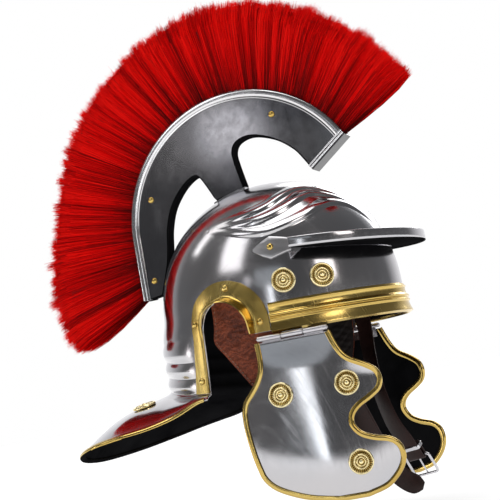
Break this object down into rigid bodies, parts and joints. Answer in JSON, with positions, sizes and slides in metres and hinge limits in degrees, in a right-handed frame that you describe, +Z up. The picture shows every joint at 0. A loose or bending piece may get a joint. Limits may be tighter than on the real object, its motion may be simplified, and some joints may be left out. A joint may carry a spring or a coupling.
{
  "type": "roman legionary helmet",
  "caption": "Steel Roman helmet with fore-and-aft red bristle crest, brow peak, ribbed nape, neck guard, hinged cheek pieces and brass trim.",
  "frame": {"origin": "mount head_seat, where the inside of the crown rests on the wearer's head", "axes": "+Z up as worn, -Y to the front over the brow, +X to the wearer's left"},
  "size_m": [0.2746, 0.3991, 0.5121],
  "materials": {
    "polished_steel": "bright polished steel with fine hand scratches",
    "crest_steel": "darker steel sheet, polished with faint swirls",
    "polished_brass": "polished yellow brass with light wear",
    "black_paint": "semi-gloss black paint",
    "red_bristle": "bright red stiff bristle, slightly glossy strands",
    "hinge_steel": "bright plated steel with fine lines",
    "liner_leather": "wrinkled reddish-brown leather",
    "strap_leather": "smooth dark brown strap leather"
  },
  "bodies": {
    "bowl_and_crest": {"skull_bowl": "polished_steel", "neck_guard_trim": "polished_brass", "brow_band": "polished_brass", "brow_peak": "polished_steel", "crest_core": "black_paint", "crest_cap": "crest_steel", "crest_seat": "crest_steel", "crest_plume": "red_bristle", "chin_strap_right": "strap_leather", "chin_strap_left": "strap_leather", "strap_buckle": "hinge_steel", "strap_keeper": "hinge_steel", "guard_rosette_1": "polished_brass", "guard_rosette_2": "polished_brass", "guard_rosette_3": "polished_brass", "crest_plate_right": "crest_steel", "ear_guard_right": "polished_brass", "hinge_pin_right": "hinge_steel", "hinge_bowl_leaf_right": "hinge_steel", "bowl_rosette_right_1": "polished_brass", "bowl_rosette_right_2": "polished_brass", "ear_rivet_right_1": "polished_brass", "ear_rivet_right_2": "polished_brass", "ear_rivet_right_3": "polished_brass", "ear_rivet_right_4": "polished_brass", "crest_rivet_right_1": "polished_brass", "crest_rivet_right_2": "polished_brass", "crest_rivet_right_3": "polished_brass", "peak_rivet_right": "polished_brass", "strap_rivet_right": "polished_brass", "liner_flap_right": "liner_leather", "crest_plate_left": "crest_steel", "ear_guard_left": "polished_brass", "hinge_pin_left": "hinge_steel", "hinge_bowl_leaf_left": "hinge_steel", "bowl_rosette_left_1": "polished_brass", "bowl_rosette_left_2": "polished_brass", "ear_rivet_left_1": "polished_brass", "ear_rivet_left_2": "polished_brass", "ear_rivet_left_3": "polished_brass", "ear_rivet_left_4": "polished_brass", "crest_rivet_left_1": "polished_brass", "crest_rivet_left_2": "polished_brass", "crest_rivet_left_3": "polished_brass", "peak_rivet_left": "polished_brass", "strap_rivet_left": "polished_brass", "liner_flap_left": "liner_leather"},
    "cheek_right": {"cheek_plate_right": "polished_steel", "cheek_trim_right": "polished_brass", "hinge_cheek_leaf_right": "hinge_steel", "cheek_rosette_right_1": "polished_brass", "cheek_rosette_right_2": "polished_brass", "cheek_rosette_right_3": "polished_brass"},
    "cheek_left": {"cheek_plate_left": "polished_steel", "cheek_trim_left": "polished_brass", "hinge_cheek_leaf_left": "hinge_steel", "cheek_rosette_left_1": "polished_brass", "cheek_rosette_left_2": "polished_brass", "cheek_rosette_left_3": "polished_brass"}
  },
  "joints": [
    {"name": "cheek_hinge_right", "type": "hinge", "parent": "bowl_and_crest", "child": "cheek_right", "pos_m": [-0.0985, -0.0365, -0.1533], "axis": [-0.1392, 0.9903, 0], "range_deg": [-3, 100]},
    {"name": "cheek_hinge_left", "type": "hinge", "parent": "bowl_and_crest", "child": "cheek_left", "pos_m": [0.0985, -0.0365, -0.1533], "axis": [-0.1392, -0.9903, 0], "range_deg": [-3, 100]}
  ]
}
